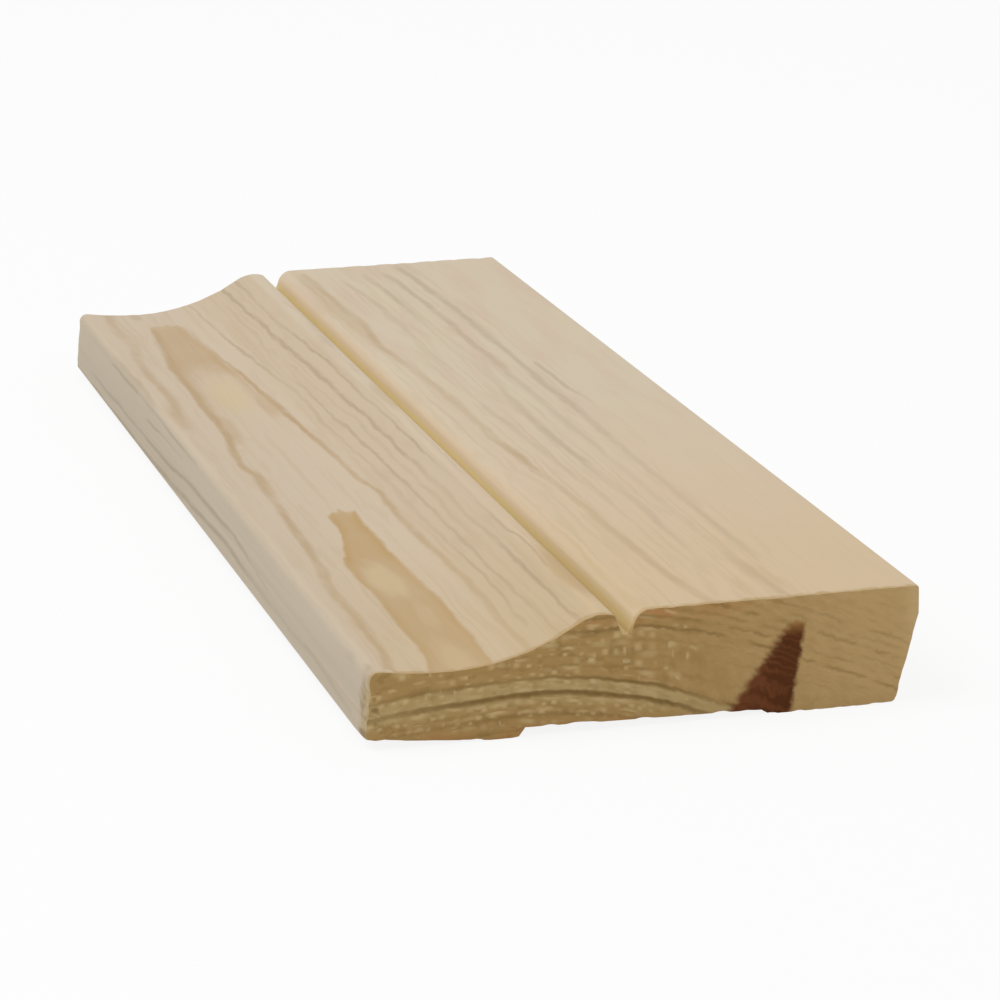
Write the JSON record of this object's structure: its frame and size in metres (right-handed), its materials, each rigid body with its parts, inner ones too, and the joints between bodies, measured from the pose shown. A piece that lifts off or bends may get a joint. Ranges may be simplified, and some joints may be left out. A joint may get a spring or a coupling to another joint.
{
  "type": "skirting board length",
  "caption": "Sawn length of planed softwood skirting board with a coved and crowned edge, a narrow groove, a wide flat face, an undercut thick edge and a relieved back.",
  "frame": {"origin": "centre of the length and width, on the plane of the back's lands", "axes": "+X along the board, +Y towards the thin moulded edge, +Z out of the show face"},
  "size_m": [0.28, 0.095, 0.02],
  "materials": {
    "planed_pine": "bare planed pine, matt, with sawn end grain"
  },
  "bodies": {
    "root": {"skirting_board": "planed_pine"}
  },
  "joints": []
}
